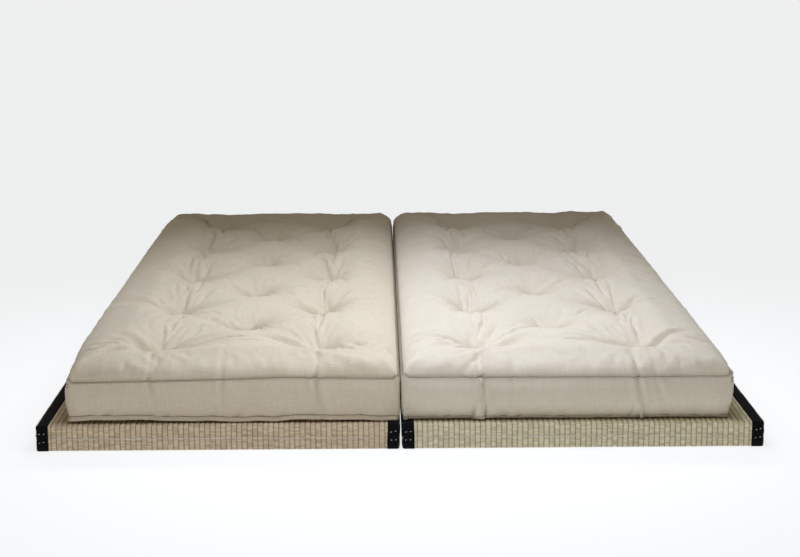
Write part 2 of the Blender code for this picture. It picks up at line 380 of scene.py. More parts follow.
def borderMaterial(name):
    # dark plain tape with lint on it
    material, tree, shader = newMaterial(name, 0.85, sheen=0.015, sheenRoughness=0.4, specular=0.12)
    place = addNode(tree, "ShaderNodeTexCoord").outputs["Object"]
    split = addNode(tree, "ShaderNodeSeparateXYZ", ((0, place),))
    upright = mathNode(tree, "ADD", split.outputs["X"], split.outputs["Z"])
    flat = addNode(tree, "ShaderNodeCombineXYZ", ((0, upright), (1, split.outputs["Y"])))
    links = (("Cloth", flat.outputs[0]), ("Threads per metre", 900.0), ("Slub", 0.6))
    threads = placeGroup(tree, weave, links)
    tone = mottled(tree, place, 0.06, 0.5)
    dark, light = (0.0018, 0.0019, 0.0028, 1), (0.0065, 0.0068, 0.01, 1)
    colour = mixColour(tree, ramp(tree, tone, 0.4, 0.75), dark, light)
    lint = ramp(tree, noiseValue(tree, stretched(tree, place, (1.0, 0.5, 1.0)), 330.0, 2.0), 0.66, 0.74)
    colour = mixColour(tree, mathNode(tree, "MULTIPLY", lint, 0.25), colour, (0.11, 0.11, 0.13, 1))
    tree.links.new(colour, shader.inputs["Base Color"])
    addBump(tree, shader, threads["Height"], 0.0005, 0.8)
    return material


def threadMaterial(name, light, dark, turnsPerMetre=420.0):
    # spun thread: a slanting twist and a soft change of colour
    material, tree, shader = newMaterial(name, 0.7, sheen=0.15, specular=0.25)
    place = addNode(tree, "ShaderNodeTexCoord").outputs["Object"]
    split = addNode(tree, "ShaderNodeSeparateXYZ", ((0, place),))
    level = mathNode(tree, "ADD", split.outputs["X"], split.outputs["Y"])
    slant = mathNode(tree, "ADD", level, split.outputs["Z"])
    twist = mathNode(tree, "SINE", mathNode(tree, "MULTIPLY", slant, turnsPerMetre * math.tau))
    tone = mottled(tree, place, 0.02, 0.5)
    tree.links.new(mixColour(tree, ramp(tree, tone, 0.35, 0.65), dark, light), shader.inputs["Base Color"])
    addBump(tree, shader, twist, 0.0002, 0.6)
    return material


def fibreMaterial(name, light, dark, fibres, depth, roughness=0.95):
    # batting, straw and foam: fibres or cells over a mottled ground
    material, tree, shader = newMaterial(name, roughness, sheen=0.1, specular=0.2)
    place = addNode(tree, "ShaderNodeTexCoord").outputs["Object"]
    tangle = placeGroup(tree, fibre, (("Place", place), ("Fibres per metre", fibres)))["Height"]
    tone = mottled(tree, place, 0.08, 0.4)
    shade = mathNode(tree, "MULTIPLY", ramp(tree, tangle, 0.4, 0.75), ramp(tree, tone, 0.2, 0.7))
    tree.links.new(mixColour(tree, shade, dark, light), shader.inputs["Base Color"])
    addBump(tree, shader, tangle, depth, 0.9)
    return material


def foamMaterial(name, light, dark):
    material, tree, shader = newMaterial(name, 0.9, specular=0.2)
    place = addNode(tree, "ShaderNodeTexCoord").outputs["Object"]
    cells = addNode(tree, "ShaderNodeTexVoronoi", (("Vector", place), ("Scale", 620.0)))
    tone = mottled(tree, place, 0.2, 0.2)
    colour = mixColour(tree, ramp(tree, tone, 0.3, 0.7), dark, light)
    pores = ramp(tree, cells.outputs["Distance"], 0.1, 0.45)
    tree.links.new(mixColour(tree, pores, (0.45, 0.36, 0.18, 1), colour), shader.inputs["Base Color"])
    addBump(tree, shader, cells.outputs["Distance"], 0.0008, 0.7)
    return material


finishes = {
    "left cotton": (cottonMaterial, (0.70, 0.625, 0.50), (0.66, 0.585, 0.46)),
    "right cotton": (cottonMaterial, (0.75, 0.69, 0.58), (0.71, 0.65, 0.54)),
    "left rush": (rushMaterial, (0.74, 0.61, 0.42), (0.47, 0.375, 0.24), (0.74, 0.57, 0.43, 1)),
    "right rush": (rushMaterial, (0.84, 0.76, 0.56), (0.56, 0.49, 0.33), (0.76, 0.73, 0.49, 1)),
    "white thread": (threadMaterial, (0.80, 0.77, 0.71), (0.62, 0.58, 0.51)),
    "tufting cord": (threadMaterial, (0.66, 0.60, 0.49), (0.50, 0.44, 0.35), 260.0),
    # real stitching thread, coloured dark as painted shade along the cover's seams
    "seam thread with painted shade": (threadMaterial, (0.20, 0.16, 0.11), (0.10, 0.08, 0.055)),
    "batting": (fibreMaterial, (0.86, 0.84, 0.79), (0.68, 0.64, 0.56), 130.0, 0.003),
    "foam": (foamMaterial, (0.86, 0.80, 0.60), (0.78, 0.71, 0.50)),
    "straw": (fibreMaterial, (0.50, 0.40, 0.22), (0.20, 0.145, 0.07), 90.0, 0.002, 0.8),
    "backing": (fibreMaterial, (0.13, 0.13, 0.12), (0.05, 0.05, 0.05), 300.0, 0.0006, 0.7),
}
materials = {"border": borderMaterial("border")}
for name, (make, light, dark, *others) in finishes.items():
    materials[name] = make(name, (*light, 1), (*dark, 1), *others)
print("materials made:", len(materials))


# one mattress, from its solids in the frame

mattress = {
    "cellsPerColumn": 20,  # of the cloth's grid, between neighbouring tufts' columns
    "cellsPerRow": 14,
    "bandRows": 14,
    "clothThickness": 0.0012,
    "frontCorner": 0.014,  # radius in plan
    "rearCorner": 0.022,
    "rollWidth": 0.105,  # of the rounded edge, from the seam to the crown
    "seamDepth": 0.0011,
    "fullness": 1.04,  # of the swollen top that is kept
    "sharpness": 1.3,
    "creaseDepth": 1.9,
    "valleyDepth": 0.016,
    "funnelDepth": 0.014,
    "relief": 0.8,
    "puckerDepth": 0.0045,
    "rounding": 0.45,
    "bandSwell": 0.0015,
    "foldZone": 0.13,  # a length, in metres
}

# seamDrop and frontCreases are (share of the half width, metres)
looks = {
    "left": {
        "seed": 3.0, "acrossEase": 0.035, "alongEase": 0.13, "flange": 0.0095, "edgeLift": 0.0145,
        "sideBulge": 0.013, "tuckUnder": 0.003, "bandBulge": 0.45,
        "seamDrop": ((-1, 0.0085), (-0.35, 0.0055), (-0.05, 0.0035), (0.3, 0.0), (1, 0.004)),
        "frontCreases": ((-0.51, 0.0032), (-0.08, 0.0028), (0.5, 0.0065)),
    },
    "right": {
        "seed": 11.0, "acrossEase": 0.035, "alongEase": 0.12, "flange": 0.004, "edgeLift": 0.0048,
        "sideBulge": 0.005, "tuckUnder": 0.012, "bandBulge": 0.65,
        "seamDrop": ((-1, 0.0015), (-0.3, 0.003), (0.4, 0.004), (1, 0.002)),
        "frontCreases": ((-0.53, 0.0095), (-0.34, 0.0024), (0.43, 0.0065), (0.53, 0.003)),
    },
}

cloth = {
    "frames": 20,
    "pressure": 3.2,
    "mass": 0.3,
    "tension": 50.0,
    "shear": 10.0,
    "bending": 0.04,
    "damping": 5.0,
    "quality": 5,
    "mostRise": 0.022,
    "mostSpread": 0.012,
}


def readMattress(side):
    # the places and sizes that the solids give
    halves = [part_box(f"{side}_{half}_top_cover") for half in ("front", "rear")]
    low = [min(box[0][axis] for box in halves) for axis in range(3)]
    high = [max(box[1][axis] for box in halves) for axis in range(3)]
    tufts = [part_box(f"{side}_tuft_{number:02d}") for number in range(1, 15)]
    knotHeight = 0.0035 + 0.002  # of a knot's top above the bottom of its dimple
    return {
        "side": side,
        "centre": Vector(((low[0] + high[0]) / 2, (low[1] + high[1]) / 2, 0)),
        "halfX": (high[0] - low[0]) / 2,
        "halfY": (high[1] - low[1]) / 2,
        "base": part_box(f"{side}_front_bottom_cover")[0].z,
        "seam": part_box(f"{side}_front_boxing")[1].z + 0.0015,
        "crown": high[2],
        "tufts": [(box[0] + box[1]) / 2 for box in tufts],
        "dimple": tufts[0][1].z - knotHeight,
    }


def planOf(facts):
    # the grid of points over the top, seen from above, with its corners rounded
    across = 8 * mattress["cellsPerColumn"]
    along = 20 * mattress["cellsPerRow"]
    x, y = np.meshgrid(np.linspace(-1, 1, across + 1) * facts["halfX"],
                       np.linspace(-1, 1, along + 1) * facts["halfY"])
    radius = np.where(y < 0, mattress["frontCorner"], mattress["rearCorner"])
    a = np.clip((abs(x) - (facts["halfX"] - radius)) / radius, 0, 1)
    b = np.clip((abs(y) - (facts["halfY"] - radius)) / radius, 0, 1)
    roundX = np.sign(x) * (facts["halfX"] - radius + radius * a * np.sqrt(1 - b * b / 2))
    roundY = np.sign(y) * (facts["halfY"] - radius + radius * b * np.sqrt(1 - a * a / 2))
    corner = (a > 0) & (b > 0)
    return x, y, np.where(corner, roundX, x), np.where(corner, roundY, y)


def edgeDistance(facts, x, y):
    return np.minimum(facts["halfX"] - abs(x), facts["halfY"] - abs(y))


def tuftReach(facts, x, y):
    # distance to the nearest tuft
    nearest = np.full(x.shape, 9.0)
    for tuft in facts["tufts"]:
        nearest = np.minimum(nearest, np.hypot(x + facts["centre"].x - tuft.x, y - tuft.y))
    return nearest


def topHeight(facts, x, y):
    # a rounded roll inside the seam, a crown, and a funnel at each tuft
    inward = np.clip(edgeDistance(facts, x, y) / mattress["rollWidth"], 0, 1)
    rise = (1 - (1 - inward) ** 2.2) ** 0.72
    reach = tuftReach(facts, x, y)
    pull = 0.62 * np.exp(-(reach / 0.085) ** 1.3) + 0.38 * np.exp(-(reach / 0.03) ** 1.2)
    crown = (facts["crown"] - facts["seam"]) * rise
    return facts["seam"] + crown - pull * (crown - (facts["dimple"] - facts["seam"]))


def blurred(field, passes):
    for _ in range(passes):
        for axis in (0, 1):
            padded = np.concatenate([field.take([0], axis), field, field.take([-1], axis)], axis)
            size = field.shape[axis]
            ahead, behind = (padded.take(range(k, k + size), axis) for k in (2, 0))
            field = 0.5 * field + 0.25 * (ahead + behind)
    return field


def stroke(x, y, start, angle, length, bend, depth, width):
    # one crease: a valley with a low ridge on each side, widening as it fades
    dx, dy = x - start[0], y - start[1]
    along = dx * math.cos(angle) + dy * math.sin(angle)
    across = dy * math.cos(angle) - dx * math.sin(angle) - bend * along * along
    reach = np.clip(along / length, 0, 1)
    spread = width * (1 + 1.6 * reach)
    fade = np.clip(along / 0.008 + 0.5, 0, 1) * (1 - reach) ** 1.1 * (along < length)
    valley = np.exp(-(across / spread) ** 2)
    ridge = np.exp(-((abs(across) - 2 * spread) / spread) ** 2)
    return depth * fade * (valley - 0.5 * ridge)


def pullCreases(facts, look, x, y):
    # creases that fan out from each tuft, the longest to the sides
    picker = random.Random(look["seed"])
    total = np.zeros_like(x)
    for tuft in facts["tufts"]:
        offset = tuft.x - facts["centre"].x
        place = (offset, tuft.y)
        outward = 0 if offset > 0.01 else math.pi
        fans = []
        for angle in (0.25, 0.9, 1.4, 2.0, 2.8, 3.6, 4.4, 5.3):
            length, bend = picker.uniform(0.04, 0.085), picker.uniform(-2.5, 2.5)
            fans.append((angle, length, bend, picker.uniform(0.0015, 0.0035)))
        if abs(offset) > 0.01:
            for turn in (-0.45, -0.2, 0.02, 0.22, 0.45):
                curl = math.copysign(picker.uniform(0.6, 2.0), offset)
                length = picker.uniform(0.14, 0.19)
                fans.append((outward + turn, length, curl, picker.uniform(0.004, 0.006)))
            fans.append((math.pi - outward - 0.2 * math.cos(outward), 0.13, picker.uniform(-1, 1), 0.0035))
        else:
            for angle in (0.62, 2.52, 3.75, 5.67):
                fans.append((angle, picker.uniform(0.1, 0.14), picker.uniform(-1.6, 1.6), 0.0038))
        for angle, length, bend, depth in fans:
            angle += picker.uniform(-0.16, 0.16)
            depth *= mattress["creaseDepth"] * (0.15 + 0.85 * abs(math.cos(angle)))
            total += stroke(x, y, place, angle, length, bend, depth, picker.uniform(0.0035, 0.006))
        # a broad valley on each side, which turns towards the rear
        for angle, turn in ((0.05, 1), (math.pi - 0.05, -1)):
            length, bend = picker.uniform(0.13, 0.17), turn * picker.uniform(1.0, 2.2)
            depth = mattress["valleyDepth"] * picker.uniform(0.75, 1.15)
            total += stroke(x, y, place, angle, length, bend, depth, 0.012)
    return np.clip(total, -0.006, 0.017) * np.clip(edgeDistance(facts, x, y) / 0.03, 0, 1)


def edgeLift(facts, look, x, y):
    # how far the lower edge stands off the mat, fading out under the mattress
    spots = np.stack([x, y, np.zeros_like(x)], -1)
    wave = 0.9 + 0.45 * bumps(spots, 0.16, look["seed"]) + 0.2 * bumps(spots, 0.05, look["seed"])
    fade = np.clip(1 - edgeDistance(facts, x, y) / 0.05, 0, 1) ** 2
    return look["edgeLift"] * np.clip(wave, 0.1, 1.6) * fade


def lipOf(facts, outward):
    # how far the bottom seam stands out all round, except between the two mattresses
    inner = -sideSigns[facts["side"]]
    return np.where(outward[:, 0] * inner > 0.4, 0.15, 1.0)[:, None]


def inflate(mesh, pattern, pinned):
    # the cover, cut from a larger pattern, swells against its tufts and its lower edge
    piece = bpy.data.objects.new("inflating", mesh)
    bpy.context.scene.collection.objects.link(piece)
    piece.shape_key_add(name="start")
    cut = piece.shape_key_add(name="pattern")
    cut.data.foreach_set("co", pattern.astype(np.float32).ravel())
    held = piece.vertex_groups.new(name="held")
    held.add(pinned.tolist(), 1.0, "REPLACE")
    modifier = piece.modifiers.new("cloth", "CLOTH")
    settings = modifier.settings
    settings.quality = cloth["quality"]
    settings.mass = cloth["mass"]
    for pull, stiffness in (("tension", "tension"), ("compression", "tension"), ("shear", "shear")):
        setattr(settings, pull + "_stiffness", cloth[stiffness])
        setattr(settings, pull + "_damping", cloth["damping"])
    settings.bending_stiffness = cloth["bending"]
    settings.vertex_group_mass = "held"
    settings.rest_shape_key = cut
    settings.use_pressure = True
    settings.uniform_pressure_force = cloth["pressure"]
    settings.effector_weights.gravity = 0
    modifier.collision_settings.use_collision = False
    modifier.point_cache.frame_end = cloth["frames"] + 1
    for step in range(1, cloth["frames"] + 1):
        bpy.context.scene.frame_set(step)
    graph = bpy.context.evaluated_depsgraph_get()
    swollen = piece.evaluated_get(graph).to_mesh()
    found = np.empty(len(swollen.vertices) * 3, np.float32)
    swollen.vertices.foreach_get("co", found)
    bpy.data.objects.remove(piece)
    bpy.context.scene.frame_set(1)
    return found.reshape(-1, 3).astype(float)


def rounding(facts, x, y, height):
    # what the edge of the top lacks of a quarter-round roll
    inward = edgeDistance(facts, x, y)
    steps = np.arange(0, 0.1, 0.005)
    found = [height[abs(inward - step) < 0.004].mean() for step in steps]
    crest = np.interp(0.09, steps, found)
    part = np.clip(inward / 0.078, 0, 1)
    wanted = facts["seam"] + (crest - facts["seam"]) * np.sqrt(1 - (1 - part) ** 2)
    lack = (wanted - np.interp(inward, steps, found)) * (1 - smoothStep((inward - 0.065) / 0.03))
    return mattress["rounding"] * lack


def coverPoints(facts, look):
    # the top's grid and the band's rings, swollen and creased
    flatX, flatY, planX, planY = planOf(facts)
    rows, columns = flatX.shape
    bandRows = mattress["bandRows"]
    centre = facts["centre"]
    spots = np.stack([planX, planY, np.zeros_like(planX)], -1)
    height = topHeight(facts, planX, planY)
    rough = 0.004 * bumps(spots, 0.07, look["seed"]) + 0.0015 * bumps(spots, 0.025, look["seed"] + 1)
    height = height + rough * np.clip((height - facts["seam"]) / 0.01, 0, 1)
    top = np.stack([planX + centre.x, planY + centre.y, height], -1)
    flatTop = np.stack([flatX * (1 + look["acrossEase"]) + centre.x,
                        flatY * (1 + look["alongEase"]) + centre.y,
                        np.full_like(flatX, facts["seam"])], -1)
    edge, flatEdge = around(top), around(flatTop)
    lift = around(edgeLift(facts, look, planX, planY))
    share = np.linspace(0, 1, bandRows + 1)[1:, None]
    band = np.repeat(edge[None], bandRows, 0)
    flatBand = np.repeat(flatEdge[None], bandRows, 0)
    band[..., 2] = facts["seam"] + share * (facts["base"] + lift[None] - facts["seam"])
    flatBand[..., 2] = band[..., 2]
    start = np.concatenate([top.reshape(-1, 3), band.reshape(-1, 3)])
    pattern = np.concatenate([flatTop.reshape(-1, 3), flatBand.reshape(-1, 3)])
    topIndex = np.arange(rows * columns).reshape(rows, columns)
    bandIndex = rows * columns + np.arange(bandRows * len(edge)).reshape(bandRows, -1)
    rings = np.vstack([around(topIndex)[None], bandIndex])
    rings = np.hstack([rings, rings[:, :1]])
    nearTuft = np.flatnonzero(tuftReach(facts, planX, planY).ravel() < 0.005)
    pinned = np.concatenate([nearTuft, bandIndex[-1]])
    start[nearTuft, 2] = facts["dimple"]
    quads = np.concatenate([quadsOf(topIndex), quadsOf(rings)[:, ::-1]])
    swollen = inflate(meshFrom("cover", start, quads), pattern, pinned)
    move = swollen - start
    topMove = move[: rows * columns].reshape(rows, columns, 3)
    bandMove = move[rows * columns:].reshape(bandRows, -1, 3)
    # the seam keeps its place, so what swelling gave it is taken out near it
    seamMove, shift, weight = around(topMove), 0, 0
    rims = ((topMove[:1], planY + facts["halfY"]), (topMove[-1:], facts["halfY"] - planY),
            (topMove[:, :1], planX + facts["halfX"]), (topMove[:, -1:], facts["halfX"] - planX))
    for rim, gap in rims:
        near = 1 - smoothStep(gap / 0.07)[..., None]
        shift, weight = shift + rim * near, weight + near
    topMove -= shift / np.maximum(1, weight)
    bandMove -= seamMove * (1 - share[..., None])
    move[:, 2] = np.clip(move[:, 2], -0.006, cloth["mostRise"])
    most = np.full(len(start), cloth["mostSpread"])
    bulge = look["bandBulge"] * np.sin(math.pi * share[:, 0] ** 0.8) * smoothStep(share[:, 0] * 3.5) + 0.01
    most[rows * columns:] *= np.repeat(bulge, band.shape[1])
    spread = np.linalg.norm(move[:, :2], axis=1)
    move[:, :2] *= np.minimum(1, most / np.maximum(spread, 1e-9))[:, None]
    start = start + move
    over = start[: rows * columns, 2] - facts["seam"]
    start[: rows * columns, 2] = facts["seam"] + over * mattress["fullness"]
    # the outer long side leans out over the mat's border between its corners
    outer = sideSigns[facts["side"]]
    places = (start[:, 0] - centre.x) * outer / facts["halfX"]
    middle = smoothStep((facts["halfY"] - abs(start[:, 1])) / 0.3)
    waist = 0.65 + 0.35 * np.clip((start[:, 2] - facts["base"]) / (facts["seam"] - facts["base"]), 0, 1)
    start[:, 0] += outer * look["sideBulge"] * smoothStep(places * 4 - 3) * middle * waist
    inner = -outer
    limit = centre.x + inner * (facts["halfX"] + 0.002)
    start[:, 0] = np.minimum(start[:, 0], limit) if inner > 0 else np.maximum(start[:, 0], limit)
    top = start[: rows * columns].reshape(rows, columns, 3)
    top[..., 2] += rounding(facts, planX, planY, top[..., 2])
    reach = tuftReach(facts, planX, planY)
    top[..., 2] -= mattress["funnelDepth"] * np.exp(-(reach / 0.045) ** 1.4) * smoothStep(reach / 0.02)
    fine = top[..., 2] - blurred(top[..., 2], 5)
    inside = np.clip(edgeDistance(facts, planX, planY) / 0.03, 0, 1)
    top[..., 2] += mattress["sharpness"] * np.clip(fine, -0.003, 0.003) * inside
    broad = top[..., 2] - blurred(top[..., 2], 60)
    deep = smoothStep((edgeDistance(facts, planX, planY) - 0.05) / 0.05)
    top[..., 2] += mattress["relief"] * np.clip(broad, -0.014, 0.0) * deep
    top[..., 2] -= pullCreases(facts, look, planX, planY)
    band = np.concatenate([around(top)[None], start[rows * columns:].reshape(bandRows, -1, 3)])
    return top, band, (flatX, flatY)


def frontFolds(facts, look, points, down):
    # upright creases that run from the first tufts over the front seam; down is metres below it
    places = (points[..., 0] - facts["centre"].x) / facts["halfX"]
    near = np.clip(1 - (points[..., 1] + facts["halfY"]) / 0.17, 0, 1)
    total = np.zeros(places.shape)
    for number, (place, depth) in enumerate(look["frontCreases"]):
        sway = 0.004 * np.sin(down * 40 + number * 2)
        lean = place * facts["halfX"] + sway + 0.12 * np.clip(down, 0, 1)
        across = places * facts["halfX"] - lean
        valley = np.exp(-(across / 0.0055) ** 2)
        ridge = np.exp(-((abs(across) - 0.012) / 0.007) ** 2)
        total += depth * (valley - 0.55 * ridge) * np.clip(1.15 - abs(down) / 0.12, 0, 1)
    return total * near


def seamDrop(facts, look, points):
    # the front seam isn't level: it sags by different amounts along its length
    shares, drops = zip(*look["seamDrop"])
    places = (points[..., 0] - facts["centre"].x) / facts["halfX"]
    near = smoothStep(1 - (points[..., 1] + facts["halfY"]) / 0.3)
    return np.interp(places, shares, drops) * near


def puckers(look, band, outward):
    # short upright dents where the bottom seam gathers the band
    picker = random.Random(look["seed"] + 1)
    step = np.linalg.norm(np.roll(band[-1], -1, 0) - band[-1], axis=1)
    run = np.cumsum(step) - step
    rise = band[..., 2] - band[-1:, :, 2]
    total = np.zeros(band.shape[:2])
    place = 0.0
    while place < run[-1]:
        place += picker.uniform(0.03, 0.11)
        height, lean = picker.uniform(0.02, 0.05), picker.uniform(-0.5, 0.5)
        across = run[None] - place - lean * rise
        fade = np.clip(1 - rise / height, 0, 1) ** 0.8
        valley = np.exp(-(across / 0.0075) ** 2) - 0.5 * np.exp(-((abs(across) - 0.016) / 0.009) ** 2)
        total += picker.uniform(0.3, 1.0) * mattress["puckerDepth"] * valley * fade
    band[1:-1] -= (outward[None] * total[..., None])[1:-1]


def outwardOf(loop):
    # level direction away from the inside, at each point of a closed loop
    along = np.roll(loop, -1, 0) - np.roll(loop, 1, 0)
    outward = np.stack([along[:, 1], -along[:, 0], np.zeros(len(loop))], -1)
    return outward / np.maximum(np.linalg.norm(outward, axis=1, keepdims=True), 1e-9)


def clothAround(loop, heights):
    # the band's own coordinates: metres along the loop and down it, with the loop's end repeated
    step = np.linalg.norm(np.roll(loop, -1, 0) - loop, axis=1)
    run = np.concatenate([[0], np.cumsum(step)])
    return np.stack(np.meshgrid(run, heights), -1)


def bendAcross(piece):
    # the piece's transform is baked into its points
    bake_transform(piece)


def standFor(piece, facts, node):
    side = facts["side"]
    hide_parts(f"{side}_front_{node}", f"{side}_rear_{node}")
    bendAcross(piece)


def makeCover(facts, look):
    # top panel, boxing and bottom panel, each a shell of its own, sewn at the seams
    side = facts["side"]
    top, band, (flatX, flatY) = coverPoints(facts, look)
    top[..., 2] -= seamDrop(facts, look, top)
    top[..., 2] -= frontFolds(facts, look, top, np.zeros(top.shape[:2])) * 0.8
    drop = np.linspace(1, 0, band.shape[0])[:, None]
    band[..., 2] -= seamDrop(facts, look, band) * drop
    band[..., 1] += frontFolds(facts, look, band, (1 - drop) * (facts["seam"] - facts["base"]))
    outward = outwardOf(band[0])
    puckers(look, band, outward)
    rows = np.linspace(0, 1, band.shape[0])[:, None, None]
    swell = mattress["bandSwell"] * np.sin(math.pi * rows) ** 2 - look["tuckUnder"] * rows ** 3
    band += swell * (outward * lipOf(facts, outward))[None]
    loop = band[0].copy()
    seamIn = loop - outward * mattress["seamDepth"]
    index = around(np.arange(top.shape[0] * top.shape[1]).reshape(top.shape[:2]))
    top.reshape(-1, 3)[index] = seamIn
    band[0] = seamIn
    topCloth = np.stack([flatX, flatY], -1)
    panel = addPiece(f"{side}_top_panel", sheetMesh(f"{side}_top_panel", top, topCloth), f"{side} cotton")
    heights = np.linspace(0, facts["seam"] - facts["base"], band.shape[0])
    bandCloth = clothAround(loop, heights)
    bandMesh = sheetMesh(f"{side}_boxing", band, bandCloth, True, True)
    boxing = addPiece(f"{side}_boxing", bandMesh, f"{side} cotton")
    under = bottomPoints(facts, look, top, band[-1])
    underMesh = sheetMesh(f"{side}_bottom_panel", under, topCloth, False, True)
    bottom = addPiece(f"{side}_bottom_panel", underMesh, f"{side} cotton")
    for piece, node in ((panel, "top_cover"), (boxing, "boxing"), (bottom, "bottom_cover")):
        thicken(piece, mattress["clothThickness"])
        standFor(piece, facts, node)
    return top, under, band


def bottomPoints(facts, look, top, lowerEdge):
    # the underside lies flat, with shallow dimples that repeat the creases of the top
    x = top[..., 0] - facts["centre"].x
    y = top[..., 1]
    sink = np.clip(facts["crown"] - top[..., 2], 0, 1) * np.clip(edgeDistance(facts, x, y) / 0.1, 0, 1)
    sink = np.clip(sink - 0.008, 0, 1) * 0.42
    pull = np.exp(-(tuftReach(facts, x, y) / 0.03) ** 1.3)
    tuftBottom = 0.012
    height = np.maximum(sink * 0.6, pull * tuftBottom)
    height = np.minimum(height, tuftBottom)
    under = top.copy()
    under[..., 2] = facts["base"] + height + edgeLift(facts, look, x, y)
    index = around(np.arange(under.shape[0] * under.shape[1]).reshape(under.shape[:2]))
    under.reshape(-1, 3)[index] = lowerEdge
    return under


def makeFlange(facts, look, band):
    # the lower seam's allowance stands out as a narrow lip, pinched where hands have pulled it
    side = facts["side"]
    loop = band[-1]
    outward = outwardOf(loop)
    room = lipOf(facts, outward)
    wave = bumps(loop, 0.05, look["seed"] + 5)
    pinch = np.clip(bumps(loop, 0.11, look["seed"] + 9) * 3 - 0.9, 0, 1)
    lip = (look["flange"] * (1 - 0.45 * pinch + 0.12 * wave))[:, None]
    up = np.array([0, 0, 1.0])
    root = loop - outward * 0.001 + up * 0.0012
    hang = outward * room * (0.5 + 0.2 * wave[:, None]) - up
    hang /= np.linalg.norm(hang, axis=1, keepdims=True)
    tip = root + hang * lip
    tip[:, 2] = np.maximum(tip[:, 2], facts["base"] + 0.0006)
    face = np.cross(hang, np.cross(outward, up))
    half = 0.0013
    middle = (root + tip) / 2
    ring = [root - face * half, middle - face * half * 1.15, tip - face * half * 0.8, tip + hang * 0.0006,
            tip + face * half * 0.8, middle + face * half, root + face * half]
    ring = np.stack(ring + ring[:1])
    ring[..., 2] = np.maximum(ring[..., 2], facts["base"])
    lipCloth = clothAround(loop, np.linspace(0, 0.02, len(ring)))
    flange = addPiece(f"{side}_flange", sheetMesh(f"{side}_flange", ring, lipCloth, True), f"{side} cotton")
    bendAcross(flange)


seams = {
    "stitchRadius": 0.0004,
    "handStitchRadius": 0.0006,
    "standOff": 0.0011,  # of the upper seam's thread, from the cloth
    "lowerStandOff": 0.0012,
    "lowerRise": 0.0022,
    "handStandOff": 0.0014,
}


def makeSeamThreads(facts, band):
    # the stitching along both seams, and a few hand stitches that close the outer front corner; the thread
    # is real, but its dark colour is painted shade along the seams
    side = facts["side"]
    up = np.array([0, 0, 1.0])
    outward = outwardOf(band[0])
    upper = band[0] + outward * seams["standOff"]
    lower = band[-1] + outward * seams["lowerStandOff"] + up * seams["lowerRise"]
    paths = [np.vstack([path, path[:1]]) for path in (upper, lower)]
    threads = [(f"{side}_seam_stitching", paths, seams["stitchRadius"])]
    cornerX = facts["centre"].x + sideSigns[side] * facts["halfX"]
    corner = np.array([cornerX, facts["centre"].y - facts["halfY"]])
    nearest = int(np.argmin(np.linalg.norm(band[0][:, :2] - corner, axis=1)))
    corners = []
    for row in (1, 2):
        ends = [(nearest + turn) % band.shape[1] for turn in (-1, 0, 1)]
        stitch = np.array([band[row, end] + outward[end] * seams["handStandOff"] for end in ends])
        stitch[:, 2] += (-0.001, 0.0004, 0.0015)
        corners.append(stitch)
    threads.append((f"{side}_corner_stitches", corners, seams["handStitchRadius"]))
    for name, lines, radius in threads:
        # the thread's dark colour is painted shade along the seams
        piece = addPiece(name, threadMesh(name, lines, radius), "seam thread with painted shade")
        bendAcross(piece)


def slabMesh(name, upper, lower, fuzz, seed):
    # a closed block of filling between two grids, with a soft uneven surface
    rows, columns = upper.shape[:2]
    points = np.concatenate([upper.reshape(-1, 3), lower.reshape(-1, 3)])
    if fuzz:
        points = points + fuzz * np.stack([bumps(points, 0.02, seed + k) for k in range(3)], -1)
    index = np.arange(rows * columns).reshape(rows, columns)
    ring = np.vstack([around(index), around(index + rows * columns)])
    ring = np.hstack([ring, ring[:, :1]])
    quads = [quadsOf(index), quadsOf(index + rows * columns)[:, ::-1], quadsOf(ring)[:, ::-1]]
    return meshFrom(name, points, np.concatenate(quads))


def lowest(field, reach):
    # the lowest value within this many cells
    for axis in (0, 1):
        size = field.shape[axis]
        padded = np.concatenate([field.take([0] * reach, axis), field, field.take([-1] * reach, axis)], axis)
        field = np.min([padded.take(range(k, k + size), axis) for k in range(2 * reach + 1)], 0)
    return field


def makeFilling(facts, look, top, under):
    # two layers of batting round a foam core, which dips a little at each tuft
    top, under = top.copy(), under.copy()
    top[..., 2] = lowest(top[..., 2], 4)
    under[..., 2] = -lowest(-under[..., 2], 4)
    side = facts["side"]
    inset = mattress["clothThickness"] + 0.0035
    coarse = (slice(None, None, 4), slice(None, None, 4))
    top, under = top[coarse].copy(), under[coarse].copy()
    for grid in (top, under):
        for axis, half in ((0, facts["halfX"]), (1, facts["halfY"])):
            centre = facts["centre"][axis]
            grid[..., axis] = centre + np.clip(grid[..., axis] - centre, -half + inset, half - inset)
    pull = np.exp(-(tuftReach(facts, top[..., 0] - facts["centre"].x, top[..., 1]) / 0.035) ** 1.5)
    core = [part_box(f"{side}_front_foam_core")[k].z for k in (0, 1)]
    coreTop, coreBottom = top.copy(), top.copy()
    coreTop[..., 2] = core[1] - 0.004 * pull
    coreBottom[..., 2] = core[0] + 0.003 * pull
    gap = np.array([0, 0, 0.0008])
    upper = top - np.array([0, 0, inset])
    upper[..., 2] = np.maximum(upper[..., 2], coreTop[..., 2] + 0.004)
    lower = under + np.array([0, 0, inset * 0.6])
    layers = (
        ("top_batting", upper, coreTop + gap, "batting", "cotton_batting", 0.0012, 0.55),
        ("foam_core", coreTop - gap, coreBottom + gap, "foam", "foam", 0.0003, 0.95),
        ("bottom_batting", coreBottom - gap, lower, "batting", "cotton_batting", 0.0008, 0.5),
    )
    for node, high, low, material, slot, fuzz, fill in layers:
        name = f"{side}_{node}"
        piece = addPiece(name, slabMesh(name, high, low, fuzz, look["seed"]), material)
        standFor(piece, facts, node)


def knotPath(centre, radius, turn):
    # an overhand knot drawn tight, round an upright axis
    steps = np.linspace(0, math.tau, 40)
    ring = radius * (1 + 0.45 * np.cos(3 * steps))
    angle = 2 * steps + turn
    lift = radius * 0.42 * np.sin(3 * steps)
    return np.stack([centre.x + ring * np.cos(angle), centre.y + ring * np.sin(angle), centre.z + lift], -1)


